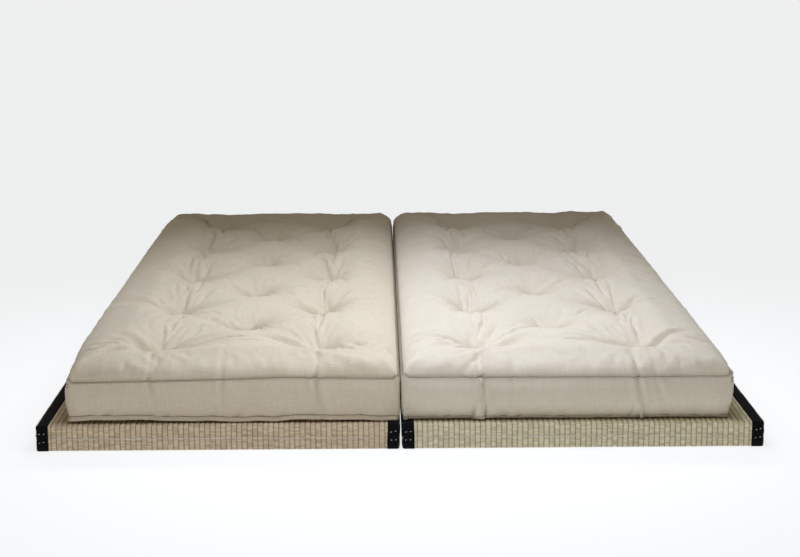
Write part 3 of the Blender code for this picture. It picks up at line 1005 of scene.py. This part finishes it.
def tailPath(centre, angle, length, rise):
    # a short cut end that leaves the knot and droops
    steps = np.linspace(0, 1, 7)
    reach = length * steps
    drop = rise * np.sin(steps * math.pi * 0.8)
    x, y = centre.x + reach * math.cos(angle), centre.y + reach * math.sin(angle)
    return np.stack([x, y, centre.z + drop], -1)


tufting = {
    "plies": 2,
    "turns": 17,  # of each ply, from knot to knot
    "plyRadius": 0.0008,
    "plyOffset": 0.0007,
    "upperKnot": 0.0024,
    "lowerKnot": 0.0022,
}


def makeTufts(facts):
    side = facts["side"]
    picker = random.Random(facts["side"])
    for number, tuft in enumerate(facts["tufts"], start=1):
        node = f"{side}_tuft_{number:02d}"
        low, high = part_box(node)
        upper = Vector((tuft.x, tuft.y, high.z - 0.002))
        lower = Vector((tuft.x, tuft.y, low.z + 0.002))
        steps = np.linspace(0, 1, 150)
        paths = []
        for ply in range(tufting["plies"]):
            angle = steps * math.tau * tufting["turns"] + ply * math.pi
            cordZ = lower.z + steps * (upper.z - lower.z)
            x = tuft.x + tufting["plyOffset"] * np.cos(angle)
            y = tuft.y + tufting["plyOffset"] * np.sin(angle)
            paths.append(np.stack([x, y, cordZ], -1))
        turn = picker.uniform(0, math.tau)
        paths.append(knotPath(upper, tufting["upperKnot"], turn))
        paths.append(knotPath(lower, tufting["lowerKnot"], turn + 1))
        paths.append(tailPath(upper, turn, 0.004, 0.001))
        paths.append(tailPath(upper, turn + picker.uniform(1.8, 3.4), 0.0035, 0.001))
        mesh = threadMesh(node + "_cord", paths, tufting["plyRadius"])
        piece = addPiece(f"{side}_tuft_cord_{number:02d}", mesh, "tufting cord")
        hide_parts(node)
        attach(piece, frame["nodes"][node]["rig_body"])


for side, look in looks.items():
    facts = readMattress(side)
    topGrid, underGrid, bandRings = makeCover(facts, look)
    print(side, "cover made")
    makeFlange(facts, look, bandRings)
    makeSeamThreads(facts, bandRings)
    makeFilling(facts, look, topGrid, underGrid)
    makeTufts(facts)
    print(side, "mattress made")


# one tatami mat

mat = {
    "rib": 0.0116,  # between the rush's warp threads
    "brick": 0.0098,
    "strand": 0.0033,
    "pointsPerRib": 6,
    "ribHeight": 0.0011,
    "brickHeight": 0.0005,
    "edgeRadius": 0.005,
    "endRowStep": 0.0016,
    "topRowStep": 0.02,
    "borderRadius": 0.006,
    "borderCloth": 0.0012,
    "stitchPitch": 0.047,
    "stitchHeight": 0.028,
    "thread": 0.0007,
}


def facingPath(low, high):
    # up the front end, over the top and down the rear end: place, outward direction and run
    radius, step = mat["edgeRadius"], mat["endRowStep"]
    upright = np.arange(low.z, high.z - radius, step)
    top = np.arange(low.y + radius, high.y - radius, mat["topRowStep"])
    turn = np.radians(np.linspace(0, 90, 6))
    places = [(low.y, z, -1, 0) for z in upright]
    places += [(low.y + radius * (1 - math.cos(a)), high.z - radius + radius * math.sin(a),
                -math.cos(a), math.sin(a)) for a in turn]
    places += [(y, high.z, 0, 1) for y in top[1:]]
    places += [(high.y - radius + radius * math.sin(a), high.z - radius + radius * math.cos(a),
                math.sin(a), math.cos(a)) for a in turn]
    places += [(high.y, z, 1, 0) for z in upright[::-1]]
    places = np.array(places)
    step = np.linalg.norm(np.diff(places[:, :2], axis=0), axis=1)
    return places, np.concatenate([[0], np.cumsum(step)])


def makeFacing(side, body):
    name = f"{side}_mat_rush_facing"
    low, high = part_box(name)
    places, run = facingPath(low, high)
    ribs = round((high.x - low.x) / mat["rib"])
    x = np.linspace(0, ribs * mat["rib"], ribs * mat["pointsPerRib"] + 1)
    xs, runs = np.meshgrid(x, run)
    rib = np.floor(xs / mat["rib"] + 1e-6)
    across = np.abs(np.sin(np.pi * xs / mat["rib"])) ** 0.6
    brick = np.sin(np.pi * runs / mat["brick"] + np.pi * rib)
    strand = np.abs(np.sin(np.pi * runs / mat["strand"])) ** 0.5
    onEnd = (abs(places[:, 2]) > 0.01)[:, None]
    relief = mat["ribHeight"] * (across - 1)
    relief = relief + onEnd * across * (mat["brickHeight"] * (brick - 1) + 0.0004 * (strand - 1))
    spots = np.stack([xs, runs, np.zeros_like(xs)], -1)
    relief = relief + 0.0003 * bumps(spots, 0.013, 4.0)
    sway = 0.0008 * bumps(spots, 0.12, 2.0)
    left = (low.x + high.x) / 2 - x[-1] / 2
    grid = np.stack([
        left + xs + sway,
        places[:, :1] + places[:, 2:3] * relief,
        places[:, 1:2] + places[:, 3:4] * relief,
    ], -1)
    grid[..., 0] = np.clip(grid[..., 0], low.x, high.x)
    # a whole number of ribs keeps the shader's rows on the mesh's
    cloth = np.stack([xs, runs], -1)
    piece = addPiece(name + "_woven", sheetMesh(name, grid, cloth), f"{side} rush")
    thicken(piece, 0.0014)
    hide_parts(name)
    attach(piece, body)


def makeBorder(side, which, body):
    # tape folded over the long edge and round both ends
    name = f"{side}_mat_{which}_border"
    low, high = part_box(name)
    inward = sideSigns[side] * (1 if which == "inner" else -1)
    size, centre = high - low, (high + low) / 2
    bm = bmesh.new()
    bmesh.ops.create_cube(bm, size=1.0)
    bmesh.ops.scale(bm, vec=size, verts=bm.verts)
    bmesh.ops.translate(bm, vec=centre, verts=bm.verts)
    innerX = high.x if inward > 0 else low.x
    kept = [edge for edge in bm.edges if any(abs(vert.co.x - innerX) > 0.001 for vert in edge.verts)]
    rounded = [edge for edge in kept if all(abs(vert.co.x - innerX) > 0.001 for vert in edge.verts)
               or abs(edge.verts[0].co.y - edge.verts[1].co.y) < 0.001 and edge.verts[0].co.z != 0]
    bmesh.ops.bevel(bm, geom=rounded, offset=mat["borderRadius"], segments=4, profile=0.5, affect="EDGES")
    bm.normal_update()
    ends = [face for face in bm.faces
            if face.normal.x * inward > 0.9 and abs(face.calc_center_median().x - innerX) < 0.0005
            or face.normal.z < -0.9]
    bmesh.ops.delete(bm, geom=ends, context="FACES")
    cuts = [((0, y, 0), (0, 1, 0)) for y in np.arange(low.y + 0.012, high.y - 0.006, 0.012)]
    cuts += [((0, 0, z), (0, 0, 1)) for z in (0.012, 0.02, 0.028, 0.036, 0.044)]
    cuts += [((low.x + share * size.x, 0, 0), (1, 0, 0)) for share in (0.25, 0.5, 0.75)]
    for place, facing in cuts:
        cut = bm.verts[:] + bm.edges[:] + bm.faces[:]
        bmesh.ops.bisect_plane(bm, geom=cut, plane_co=place, plane_no=facing)
    bm.normal_update()
    for vert in bm.verts:
        lump = noise.noise(vert.co * 45) * 0.0007 + noise.noise(vert.co * 14) * 0.0006
        vert.co -= vert.normal * (0.0005 + max(-0.0004, lump))
        if which == "inner":
            vert.co.x -= sideSigns[side] * 0.0011 * min(1, max(0, vert.co.z / 0.02 - 1.2))
    mesh = bpy.data.meshes.new(name)
    bm.to_mesh(mesh)
    bm.free()
    mesh.shade_smooth()
    piece = addPiece(name + "_tape", mesh, "border")
    thicken(piece, mat["borderCloth"])
    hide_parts(name)
    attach(piece, body)


def makeBorderStitches(side, body):
    # two rows of two short stitches on each end of each border
    picker = random.Random(side + " stitches")
    paths = []
    for which in ("outer", "inner"):
        low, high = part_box(f"{side}_mat_{which}_border")
        for y, facing in ((low.y, -1), (high.y, 1)):
            for row in (0.36, 0.68):
                for column in (0.32, 0.66):
                    x = low.x + column * (high.x - low.x) + picker.uniform(-0.001, 0.001)
                    z = row * high.z + (column - 0.5) * 0.005 + picker.uniform(-0.001, 0.001)
                    steps = np.linspace(0, 1, 6)
                    arch = facing * (0.0009 * np.sin(steps * math.pi) - 0.0005)
                    part = steps - 0.5
                    paths.append(np.stack([x + part * 0.0026, y + arch, z + part * 0.0008], -1))
    name = f"{side}_mat_border_stitches"
    piece = addPiece(name, threadMesh(name, paths, 0.0006), "white thread")
    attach(piece, body)


def makeEndStitches(side, body):
    # blanket stitch along both ends: a thread along the rush, and one down at each stitch
    low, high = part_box(f"{side}_mat_rush_facing")
    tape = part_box(f"{side}_mat_outer_border")
    margin = tape[1].x - tape[0].x
    picker = random.Random(side + " ends")
    radius = mat["thread"]
    for end, y, facing in (("front", low.y, -1), ("rear", high.y, 1)):
        x0, x1 = low.x + margin, high.x - margin
        count = round((x1 - x0) / mat["stitchPitch"])
        marks = [x0 + (k + 0.5 + picker.uniform(-0.12, 0.12)) * (x1 - x0) / count for k in range(count)]
        heights = [mat["stitchHeight"] + picker.uniform(-0.0015, 0.0015) for _ in marks]
        out = y + facing * (radius - 0.0002)
        along = []
        for k in range(count):
            before = marks[k - 1] if k else x0
            for share in np.linspace(0, 1, 9)[:-1]:
                x = before + share * (marks[k] - before)
                z = (heights[k - 1] if k else heights[0]) * (1 - share) + heights[k] * share
                sag = -0.0012 * math.sin(share * math.pi)
                dip = -0.0011 * facing * (abs(math.sin(math.pi * (x - low.x) / mat["rib"])) < 0.35)
                along.append((x, out + dip, z + sag))
        paths = [along]
        for x, z in zip(marks, heights):
            lean = picker.uniform(-0.001, 0.004)
            steps = np.linspace(0, 1, 8)
            down = []
            for share in steps:
                bow = facing * 0.0004 * math.sin(share * math.pi)
                down.append((x + lean * share, out + bow, z - share * (z - 0.0022)))
            down += [(x + lean, y - facing * 0.002, 0.0009), (x + lean, y - facing * 0.012, 0.0008)]
            loop = [(x - 0.0005, out - facing * 0.001, z + 0.003), (x, out + facing * 0.0005, z + 0.0012)]
            paths.append(loop + down)
        name = f"{side}_mat_{end}_stitching"
        piece = addPiece(name, threadMesh(name, paths, radius), "white thread")
        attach(piece, body)


def makeCore(side, body):
    # pressed straw, rounded where it meets the facing and the tape
    name = f"{side}_mat_core"
    low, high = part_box(name)
    rows, columns = 90, 40
    x = np.linspace(low.x + 0.0008, high.x - 0.0008, columns)
    y = np.linspace(low.y + 0.001, high.y - 0.001, rows)
    xs, ys = np.meshgrid(x, y)
    upper = np.stack([xs, ys, np.full_like(xs, high.z - 0.0006)], -1)
    lower = np.stack([xs, ys, np.full_like(xs, 0.0022)], -1)
    piece = addPiece(f"{side}_mat_straw_core", slabMesh(name, upper, lower, 0.0005, 6.0), "straw")
    bevel = piece.modifiers.new("rounded", "BEVEL")
    bevel.width = 0.002
    bevel.segments = 2
    bevel.limit_method = "ANGLE"
    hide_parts(name)
    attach(piece, body)


def makeBacking(side, body):
    # a woven sheet under the core, set in from the core's edges
    low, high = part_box(f"{side}_mat_core")
    inset = 0.008
    spans = ((low.x, high.x, 60), (low.y, high.y, 140))
    xs, ys = np.meshgrid(*(np.linspace(a + inset, b - inset, count) for a, b, count in spans))
    grid = np.stack([xs, ys, np.zeros_like(xs)], -1)
    grid[..., 2] = 0.0005 + 0.0003 * bumps(grid, 0.04, 8.0)
    name = f"{side}_mat_backing_sheet"
    piece = addPiece(name, sheetMesh(name, grid, np.stack([xs, ys], -1), False, True), "backing")
    thicken(piece, 0.0006)
    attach(piece, body)


for side in sideSigns:
    body = f"{side}_mat"
    makeCore(side, body)
    makeBacking(side, body)
    makeFacing(side, body)
    makeBorder(side, "outer", body)
    makeBorder(side, "inner", body)
    makeBorderStitches(side, body)
    makeEndStitches(side, body)
    print(side, "mat made")


# floor, light and camera

stage = {
    "floorSize": 90.0,
    "floorGlow": 0.82,
    "floorColour": (0.25, 0.25, 0.25, 1),
    "skyStrength": 0.22,
    "skyColour": (1.0, 0.9, 0.72, 1),
    "softboxColour": (0.82, 0.87, 1.0),
    "softboxSpread": 140,  # degrees
    # place, target, size and watts
    "softboxes": {
        "key softbox": ((-0.02, 0.1, 1.35), (0, -0.9, 0), (1.3, 0.35), 9.8),
        "front softbox": ((0.12, -1.03, 1.2), (0.03, -0.85, 0), (1.3, 0.4), 6.2),
    },
    "lens": 75.4,
    "cameraPlace": (-0.047, -4.523, 1.129),
    "cameraTurn": (-0.75, 11.96, -0.19),  # to the right, down and roll, in degrees
}


def makeFloor():
    material, _, shader = newMaterial("pale floor", 0.9, specular=0.1)
    shader.inputs["Base Color"].default_value = stage["floorColour"]
    shader.inputs["Emission Color"].default_value = (0.97, 0.985, 1, 1)
    shader.inputs["Emission Strength"].default_value = stage["floorGlow"]
    bm = bmesh.new()
    bmesh.ops.create_grid(bm, x_segments=2, y_segments=2, size=stage["floorSize"] / 2)
    mesh = bpy.data.meshes.new("floor")
    bm.to_mesh(mesh)
    bm.free()
    floor = bpy.data.objects.new("floor", mesh)
    floor.data.materials.append(material)
    floor.location.z = -0.0005
    bpy.context.scene.collection.objects.link(floor)


def makeSoftbox(name, place, target, size, power):
    light = bpy.data.lights.new(name, "AREA")
    light.spread = math.radians(stage["softboxSpread"])
    light.shape = "ELLIPSE"
    light.size, light.size_y = size
    light.energy = power
    light.color = stage["softboxColour"]
    holder = bpy.data.objects.new(name, light)
    holder.location = place
    holder.rotation_euler = (Vector(target) - Vector(place)).to_track_quat("-Z", "Y").to_euler()
    bpy.context.scene.collection.objects.link(holder)


def makeCamera():
    right, down, roll = (math.radians(angle) for angle in stage["cameraTurn"])
    camera = bpy.data.cameras.new("camera")
    camera.sensor_width = 36.0
    camera.lens = stage["lens"]
    camera.clip_end = 200.0
    holder = bpy.data.objects.new("camera", camera)
    aim = Matrix.Rotation(right, 3, "Z") @ Matrix.Rotation(math.radians(90) - down, 3, "X")
    holder.rotation_euler = (aim @ Matrix.Rotation(roll, 3, "Z")).to_euler()
    holder.location = stage["cameraPlace"]
    bpy.context.scene.collection.objects.link(holder)
    bpy.context.scene.camera = holder


makeFloor()
makeCamera()
for name, settings in stage["softboxes"].items():
    makeSoftbox(name, *settings)
sky = bpy.data.worlds.new("studio")
sky.use_nodes = True
sky.node_tree.nodes["Background"].inputs[0].default_value = stage["skyColour"]
sky.node_tree.nodes["Background"].inputs[1].default_value = stage["skyStrength"]
bpy.context.scene.world = sky
bpy.context.scene.view_settings.view_transform = "Standard"
print("stage set")
